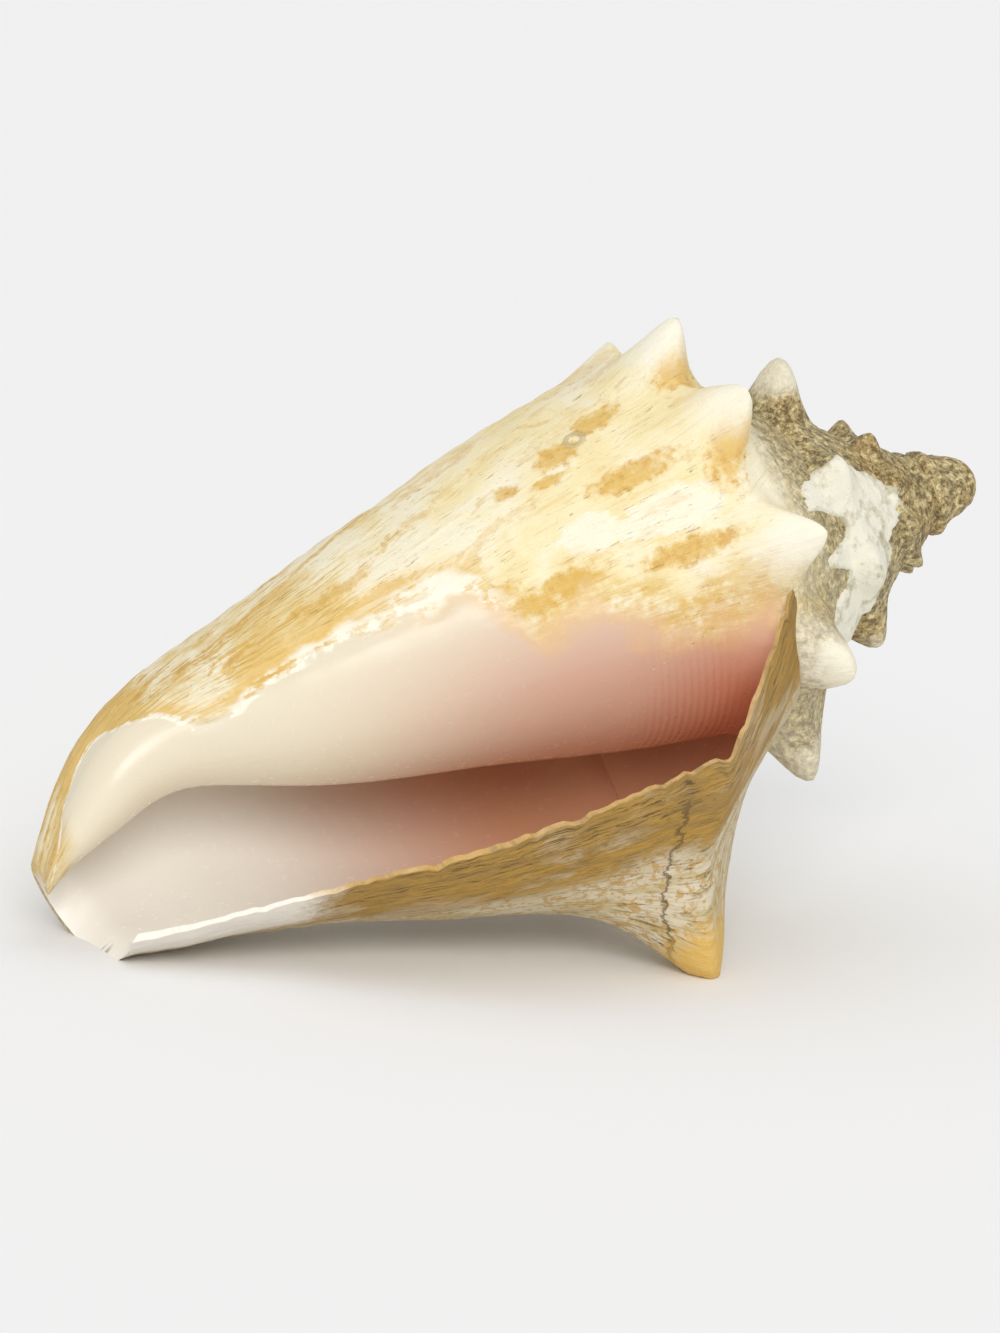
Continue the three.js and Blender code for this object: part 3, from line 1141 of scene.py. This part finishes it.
@dataclass(frozen=True)
class ShellFinish:
    """The shell's colours and gloss, from the spire's grime to the pink glaze.

    Its stains and worn spots are patches, given by their middle, along and azimuth, and half-widths.
    Grime, chalk and the lip's skin each begin between two turns of growth.
    """

    stains: tuple[Patch, ...] = (
        (75, 56, 5.5, 5), (83.5, 50.5, 5.5, 6), (74.5, 32.5, 9, 5.5), (95, 47, 3, 3.5),
        (87.5, 42.5, 4, 2.5), (58.5, 28, 5, 14), (60, 57, 6, 7), (70, 4, 10, 5),
        (91.5, 7, 6, 5), (99, 3, 6, 5), (107, 12, 8, 5),
    )
    worn: tuple[Patch, ...] = ((70, 17, 12, 8), (85, 20, 7, 8), (120, 22, 14, 9))
    grime_from: tuple[float, float] = (-70, -150)
    chalky_from: tuple[float, float] = (228, 262)
    skin_from: tuple[float, float] = (329, 336)
    cream: Colour = tint(248, 233, 184)
    pearl: Colour = tint(250, 241, 212)
    worn_white_and_highlight: Colour = tint(251, 247, 230)
    gold: Colour = tint(226, 184, 92)
    straw: Colour = tint(242, 204, 124)
    amber: Colour = tint(206, 152, 66)
    tan: Colour = tint(180, 142, 72)
    line: Colour = tint(116, 92, 50)
    ochre: Colour = tint(188, 146, 62)
    skin: Colour = tint(162, 128, 66)
    skin_dark: Colour = tint(104, 82, 42)
    chalk: Colour = tint(220, 208, 182)
    veins: Colour = tint(194, 152, 80)
    grime: Colour = tint(166, 150, 108)
    grime_dark: Colour = tint(84, 68, 40)
    grime_light: Colour = tint(198, 182, 134)
    glaze_cream: Colour = tint(230, 219, 194)
    glaze_gold: Colour = tint(230, 190, 128)
    glaze_pink: Colour = tint(217, 176, 154)
    glaze_deep: Colour = tint(216, 148, 122)
    flake: Colour = tint(253, 247, 228)
    inner_pale: Colour = tint(255, 249, 238)
    inner_deep: Colour = tint(234, 176, 138)

    def build(self) -> bpy.types.Material:
        """Builds the material.

        Returns:
            The material.
        """
        material, g, shader = new_material("conch_shell")
        m = ShellMarks(g)
        late = g.smooth(m.growth + (m.broad - 0.5) * 60, *self.chalky_from)
        newest = g.smooth(m.growth + (m.patch - 0.5) * 16, *self.skin_from)
        body = g.mix(late, self.body(g, m), self.chalky(g, m))
        body = g.mix(newest, body, self.lip_skin(g, m))
        old = g.smooth(m.growth + (m.broad - 0.5) * 150, *self.grime_from)
        # Darker along the sutures, over most of the ramp, drawn in the colour of the spire's grime.
        gutter = g.smooth(m.share + (m.fine - 0.5) * 0.12, 0.18, 0.07) * g.smooth(m.growth, 300, 60)
        grime_and_suture_darkening = g.most(old, gutter * 0.9)
        # Painted shade on the shoulder ramp where growth is below about 45 degrees, drawn in the grime
        # colour.
        ramp = g.smooth(m.share + (m.fine - 0.5) * 0.1 - g.smooth(m.turn, 20, -40) * 0.085, 0.215, 0.14)
        shadow = g.smooth(m.growth, 45, -10) * ramp * g.lerp(1.0, 0.65, m.streak)
        # Raised spine tips are kept clear of the grime, the suture darkening and the painted shade.
        bare_tip = 1.0 - g.smooth(m.rise + (m.fine - 0.5) * 5, 5.5, 9.5) * g.smooth(m.turn, -105, -45) * 0.9
        old_tip = g.smooth(m.rise + (m.fine - 0.5) * 4, 3.2, 6.5) * g.smooth(m.turn, -90, -120) * 0.75
        body = g.mix(g.most(grime_and_suture_darkening, shadow) * bare_tip * (1.0 - old_tip), body, self.grime_and_shade(g, m))
        body = g.mix(m.crack * 0.75, body, self.skin_dark)
        body = g.mix(g.smooth(m.rise + (m.fine - 0.5) * 6, 10.0, 16.0) * late * 0.85, body, self.gold)
        outer = g.mix(m.glazed, body, self.glazed(g, m))
        flaky = g.smooth(abs(m.inset + 1.5), 9.0, 3.0) * m.on_side * g.smooth(m.along, 97, 108)
        flaky = flaky * g.smooth(m.fine * 0.35 + m.patch * 0.65, 0.46, 0.53)
        outer = g.mix(flaky * 0.9, outer, self.flake)
        colour = g.mix(m.layer > 0.5, outer, self.inner(g, m))
        g.feed(shader.inputs["Base Color"], colour)

        shiny = g.most(m.glazed, m.layer)
        rough = g.lerp(0.5 + m.fine * 0.3, 0.2 + m.fine * 0.12, shiny)
        g.feed(shader.inputs["Roughness"], rough)
        coarse = m.thread * (0.35 + newest * 0.9 + late * 0.4) + m.streak * 0.4
        coarse = coarse + m.specks * (0.25 + grime_and_suture_darkening * 0.5)
        folds = g.math("SINE", m.along * 4.6 + m.fine * 3.0) * g.smooth(m.along, 88, 76)
        folds = folds * g.smooth(m.along, 62, 68) * g.smooth(m.turn, -16, -34) * m.glazed * 0.09
        height = coarse * (1.0 - shiny * 0.96) + folds + m.scar * 0.5 - m.crack * 1.2
        g.bump(shader, height, 0.0009)
        shader.inputs["Specular IOR Level"].default_value = 0.42
        return material

    def body(self, g: Graph, m: ShellMarks) -> bpy.types.NodeSocket:
        """Colours the weathered cream side with its golden patches and streaks.

        Args:
            g: The tree.
            m: The shell's marks.

        Returns:
            The colour.
        """
        colour = g.mix(g.smooth(m.broad, 0.36, 0.60), self.pearl, self.cream)
        blotch = g.smooth(m.patch + (m.fine - 0.5) * 0.3, 0.52, 0.60)
        flecks = g.smooth(m.streak + m.left * 0.06 + (m.broad - 0.5) * 0.3, 0.545, 0.64)
        flecks = flecks * (0.25 + m.left * 0.75)
        wash = g.smooth(m.broad + m.left * 0.12, 0.50, 0.72) * (0.15 + m.left * 0.5)
        colour = g.mix(wash, colour, self.gold)
        ragged = (m.fine - 0.5) * 1.6 + (m.patch - 0.5) * 1.2
        worn = g.smooth(widest(g, m.along, m.turn, self.worn) + ragged, 0.1, 0.5)
        blotch = blotch * (1.0 - worn) * (0.35 + m.left * 0.65)
        stain = widest(g, m.along, m.turn, self.stains) * g.smooth(m.growth, -25, -5)
        blotch = g.most(blotch, g.smooth(stain + ragged * 1.3, -0.1, 0.8))
        colour = g.mix(worn * 0.7, colour, self.worn_white_and_highlight)
        colour = g.mix(g.most(blotch * 0.85, flecks * 0.8), colour, self.gold)
        colour = g.mix(blotch * g.smooth(m.fine, 0.48, 0.64) * 0.45, colour, self.amber)
        colour = g.mix(flecks * g.smooth(m.thread, 0.50, 0.64) * 0.8, colour, self.tan)
        scratch = g.smooth(m.thread, 0.60, 0.65) * g.smooth(m.fine + m.left * 0.08, 0.46, 0.56)
        colour = g.mix(scratch * 0.65, colour, self.line)
        pits = g.smooth(m.specks, 0.70, 0.74) * g.smooth(m.broad, 0.42, 0.5)
        colour = g.mix(pits * 0.7, colour, self.line)
        frayed = g.smooth(m.streak * 0.6 + m.fine * 0.4, 0.36, 0.58)
        fringe = g.smooth(abs(m.inset + 4.0), 13.0, 0.5) * frayed
        colour = g.mix(fringe * m.on_side * 0.8, colour, self.gold)
        sunny = g.smooth(abs(m.inset + 9.0), 22.0, 4.0) * g.smooth(m.patch, 0.40, 0.56) * m.left * m.on_side
        colour = g.mix(sunny * 0.75, colour, self.straw)
        # Spine tops painted pale: the cream of their worn tips together with a painted highlight.
        tip_wear_and_highlight = g.smooth(m.rise + (m.fine - 0.5) * 5, 1.5, 6.0)
        colour = g.mix(tip_wear_and_highlight * 0.8, colour, self.worn_white_and_highlight)
        return g.mix(m.scar * 0.7, colour, self.grime_light)

    def chalky(self, g: Graph, m: ShellMarks) -> bpy.types.NodeSocket:
        """Colours the chalky side below the lip's skin, with its golden veins.

        Args:
            g: The tree.
            m: The shell's marks.

        Returns:
            The colour.
        """
        colour = g.mix(g.smooth(m.streak, 0.40, 0.62), self.chalk, self.grime_light)
        colour = g.mix(g.smooth(m.fine, 0.50, 0.60) * 0.75, colour, self.veins)
        colour = g.mix(g.smooth(m.thread, 0.53, 0.62) * 0.7, colour, self.skin)
        dark = g.smooth(m.thread * 0.7 + m.specks * 0.3, 0.585, 0.64)
        return g.mix(dark * 0.8, colour, self.skin_dark)

    def lip_skin(self, g: Graph, m: ShellMarks) -> bpy.types.NodeSocket:
        """Colours the dry horny skin that is left along the lip.

        Args:
            g: The tree.
            m: The shell's marks.

        Returns:
            The colour.
        """
        colour = g.mix(g.smooth(m.streak, 0.36, 0.60), self.skin, self.ochre)
        colour = g.mix(g.smooth(m.patch, 0.5, 0.62) * 0.4, colour, self.chalk)
        banded = g.smooth(m.growth + (m.streak - 0.5) * 14, 343, 347)
        colour = g.mix(banded * g.smooth(m.thread, 0.42, 0.56) * 0.6, colour, self.skin)
        fibres = g.smooth(m.thread, 0.535, 0.61) * (0.5 + banded * 0.45)
        colour = g.mix(fibres, colour, self.skin_dark)
        colour = g.mix(g.smooth(m.growth, 353.5, 353.9) * m.fine, colour, self.glaze_gold)
        porcelain = g.smooth(m.share + (m.fine - 0.5) * 0.08, 0.70, 0.78) * g.smooth(m.growth, 330, 345)
        return g.mix(porcelain * 0.9, colour, self.inner_pale)

    def grime_and_shade(self, g: Graph, m: ShellMarks) -> bpy.types.NodeSocket:
        """Colours the worn, stained spire, and the painted shade on the shoulder ramp, which takes the same
        colour.

        Args:
            g: The tree.
            m: The shell's marks.

        Returns:
            The colour.
        """
        colour = g.mix(g.smooth(m.fine, 0.36, 0.66), self.grime, self.grime_light)
        colour = g.mix(g.smooth(m.broad, 0.40, 0.66) * 0.5, colour, self.tan)
        mottle = g.noise(m.here, 0.75, 4, 0.75, 0.3)
        colour = g.mix(g.smooth(m.thread, 0.52, 0.62) * 0.4, colour, self.grime_dark)
        colour = g.mix(g.smooth(mottle, 0.50, 0.58) * 0.75, colour, self.grime_dark)
        return g.mix(g.smooth(mottle, 0.46, 0.38) * 0.6, colour, self.cream)

    def glazed(self, g: Graph, m: ShellMarks) -> bpy.types.NodeSocket:
        """Colours the glaze, from cream and gold at its edge to deep pink by the lip.

        Args:
            g: The tree.
            m: The shell's marks.

        Returns:
            The colour.
        """
        pink = g.smooth(m.turn, 26, -30) * g.smooth(m.along, 150, 88)
        colour = g.mix(pink, self.glaze_cream, self.glaze_pink)
        deep = g.smooth(m.along + (m.broad - 0.5) * 14, 88, 62) * g.smooth(m.turn, -14, -48)
        colour = g.mix(deep, colour, self.glaze_deep)
        edge = g.smooth(m.inset, 15.0, 0.5) * g.smooth(m.along, 128, 104)
        return g.mix(edge * (0.55 + m.patch * 0.5), colour, self.glaze_gold)

    def inner(self, g: Graph, m: ShellMarks) -> bpy.types.NodeSocket:
        """Colours the inner face of the last whorl.

        Args:
            g: The tree.
            m: The shell's marks.

        Returns:
            The colour.
        """
        back = g.smooth(m.along, 158, 96) * (g.smooth(m.growth, 356, 330) * 0.5 + 0.5)
        return g.mix(back, self.inner_pale, self.inner_deep)


@dataclass
class LimeCrust:
    """The white crust of lime that has grown over the front of the spire.

    Each patch is given by its middle, along and azimuth, and its half-widths the same way.
    """

    patches: tuple[Patch, ...] = ((32, 0, 12.5, 27), (37, -46, 7.5, 18), (31, -28, 6, 12))
    gap: Patch = (41.5, -4, 6.5, 10)
    low: tuple[float, float] = (14.0, -80.0)
    high: tuple[float, float] = (54.0, 42.0)
    from_reach: float = 70.0
    ray_length: float = 100.0
    thickness: float = 1.1
    rim: float = 0.5
    pitch: float = 0.5
    weld: float = 1e-4

    def build(self, shell: bpy.types.Object, finish: bpy.types.Material) -> bpy.types.Object:
        """Grows the crust on the shell, before the shell is laid down.

        Args:
            shell: The shell about its own axis.
            finish: The crust's material.

        Returns:
            The crust's object.
        """
        g, (thickness,) = new_tree("lime_crust", {"Thickness": "Float"})
        spans = [high - low for low, high in zip(self.low, self.high)]
        pitch = self.pitch
        counts = [round(spans[0] / pitch), round(math.radians(spans[1]) * 26 / pitch)]
        size = {"Size X": spans[0], "Size Y": spans[1], "Vertices X": counts[0], "Vertices Y": counts[1]}
        grid = g.node("GeometryNodeMeshGrid", None, size)
        x, y, _ = g.position()[1]
        a = x + (self.low[0] + self.high[0]) / 2
        turn = y + (self.low[1] + self.high[1]) / 2
        angle = turn * math.radians(1)
        out = (g.math("COSINE", angle), g.math("SINE", angle))
        source = g.vector(out[0] * self.from_reach, out[1] * self.from_reach, a)
        inward = g.vector(-out[0], -out[1], 0.0)
        target = g.node("GeometryNodeObjectInfo", None, {"Object": shell}).outputs["Geometry"]
        aim = {"Source Position": source, "Ray Direction": inward, "Ray Length": self.ray_length}
        ray = g.node("GeometryNodeRaycast", None, {"Target Geometry": target, **aim})
        reach = self.from_reach - Field(g, ray.outputs["Hit Distance"])
        spread = g.noise(g.vector(a, turn * 0.42, 0.0), 0.22, 4, 0.6)
        cover = self.cover(g, a, turn) + (spread - 0.5) * 1.0
        bumps = g.noise(g.vector(a, turn * 0.42, 4.0), 0.3, 4, 0.6)
        top = g.smooth(cover, 0.0, 0.22) * (thickness * (bumps * 1.1 + 0.3) + self.rim) - self.rim
        under = g.smooth(cover, 0.0, 0.1) * -0.7 - self.rim
        marked = store(g, grid.outputs[0], "cover", cover, "POINT")
        sheets = []
        for depth in (top, under):
            r = reach + depth
            sheets.append(g.moved(marked, g.vector(out[0] * r, out[1] * r, a)))
        flipped = g.node("GeometryNodeFlipFaces", None, {0: sheets[1]}).outputs[0]
        both = g.node("GeometryNodeJoinGeometry")
        for sheet in (flipped, sheets[0]):
            g.feed(both.inputs[0], sheet)
        mark = g.node("GeometryNodeInputNamedAttribute", {"data_type": "FLOAT"}, {"Name": "cover"})
        bare = Field(g, mark.outputs[0]) < -0.3
        chosen = {0: both.outputs[0], "Selection": bare}
        cut = g.node("GeometryNodeDeleteGeometry", {"domain": "POINT"}, chosen)
        joint = {"Geometry": cut.outputs[0], "Distance": self.weld}
        welded = g.node("GeometryNodeMergeByDistance", None, joint)
        smooth = g.node("GeometryNodeSetShadeSmooth", {"domain": "FACE"}, {0: welded.outputs[0]})
        g.finish(smooth.outputs[0], finish)
        return baked("lime_crust", g.tree, {"Thickness": self.thickness})

    def cover(self, g: Graph, a: Field, turn: Field) -> Field:
        """Works out how well a place is covered.

        Args:
            g: The tree.
            a: Along.
            turn: The azimuth.

        Returns:
            Above 0 where the crust lies.
        """
        return g.least(widest(g, a, turn, self.patches), 0.15 - oval(a, turn, self.gap))


@dataclass(frozen=True)
class CrustFinish:
    """The crust's chalky white."""

    white: Colour = tint(242, 238, 220)
    grey: Colour = tint(208, 202, 176)
    dirt: Colour = tint(150, 138, 112)

    def build(self) -> bpy.types.Material:
        """Builds the material.

        Returns:
            The material.
        """
        material, g, shader = new_material("lime_crust")
        here = g.millimetres()
        cloud = g.noise(here, 0.25, 5, 0.6)
        grain = g.noise(here, 1.2, 5, 0.7)
        colour = g.mix(g.smooth(cloud, 0.48, 0.66), self.white, self.grey)
        colour = g.mix(g.smooth(grain * 0.6 + cloud * 0.4, 0.56, 0.66) * 0.7, colour, self.dirt)
        g.feed(shader.inputs["Base Color"], colour)
        shader.inputs["Roughness"].default_value = 0.85
        g.bump(shader, grain * 0.6 + cloud, 0.001)
        return material


@dataclass
class Studio:
    """The plain floor, the soft lights and the camera."""

    rest: Rest = field(default_factory=Rest)
    eye: tuple[float, float, float] = (-89.9, -924.6, -35.8)
    lens: float = 131.4
    sensor: float = 36.0
    floor_size: float = 120.0
    floor_white: Colour = (0.97, 0.97, 0.97, 1.0)

    def build(self) -> None:
        """Sets up everything that isn't part of the object."""
        self.floor()
        self.lamp("key_light", (0.1, -1.0, 0.6), 28.0, 1.25)
        self.lamp("front_light", (-0.3, -1.0, 0.1), 50.0, 0.2)
        self.lamp("top_light", (0.0, -0.1, 1.0), 60.0, 0.32)
        world = bpy.data.worlds.new("studio")
        bpy.context.scene.world = world
        world.use_nodes = True
        sky = next(n for n in world.node_tree.nodes if n.type == "BACKGROUND")
        sky.inputs["Color"].default_value = (1.0, 1.0, 1.0, 1.0)
        sky.inputs["Strength"].default_value = 0.6
        bpy.context.scene.view_settings.view_transform = "Standard"
        self.camera()

    def floor(self) -> None:
        """Lays the floor."""
        half = self.floor_size / 2
        mesh = bpy.data.meshes.new("floor")
        corners = [(-half, -half, 0.0), (half, -half, 0.0), (half, half, 0.0), (-half, half, 0.0)]
        mesh.from_pydata(corners, [], [(0, 1, 2, 3)])
        floor = placed("floor", mesh)
        paint, _, shader = new_material("floor_white")
        shader.inputs["Base Color"].default_value = self.floor_white
        shader.inputs["Roughness"].default_value = 0.9
        mesh.materials.append(paint)

    def lamp(self, name: str, source: tuple[float, float, float], spread: float, power: float) -> None:
        """Hangs one far, soft light.

        Args:
            name: Its name.
            source: The direction that it shines from.
            spread: How wide it looks from the shell, in degrees.
            power: Its strength in watts for each square metre.
        """
        light = bpy.data.lights.new(name, "SUN")
        light.angle = math.radians(spread)
        light.energy = power
        lamp = placed(name, light)
        lamp.location = source
        lamp.rotation_euler = (-Vector(source)).to_track_quat("-Z", "Y").to_euler()

    def camera(self) -> None:
        """Sets the camera in front of the aperture."""
        data = bpy.data.cameras.new("camera")
        data.lens = self.lens
        data.sensor_width = self.sensor
        camera = placed("camera", data)
        settle = self.rest.settle()
        x, y, z = (settle @ Vector(axis) for axis in ((1, 0, 0), (0, 1, 0), (0, 0, 1)))
        turned = Matrix((x, z, -y)).transposed().to_4x4()
        place = (settle @ Vector(self.eye) + Vector(self.rest.apex)) * MM
        camera.matrix_world = Matrix.Translation(place) @ turned
        bpy.context.scene.camera = camera


def main() -> None:
    """Builds the shell and its setting and reports each piece."""
    logging.basicConfig(level=logging.INFO, format="%(name)s: %(message)s")
    rest = Rest()
    shell = ShellPiece().build(ShellFinish().build())
    crust = LimeCrust().build(shell, CrustFinish().build())
    for piece, slot in ((shell, "outer_shell"), (crust, "lime_crust")):
        rest.lay(piece)
        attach(piece, "root")
        LOG.info("%s: %d faces", piece.name, len(piece.data.polygons))
    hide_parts("shell")
    Studio(rest).build()


if __name__ == "__main__":
    main()
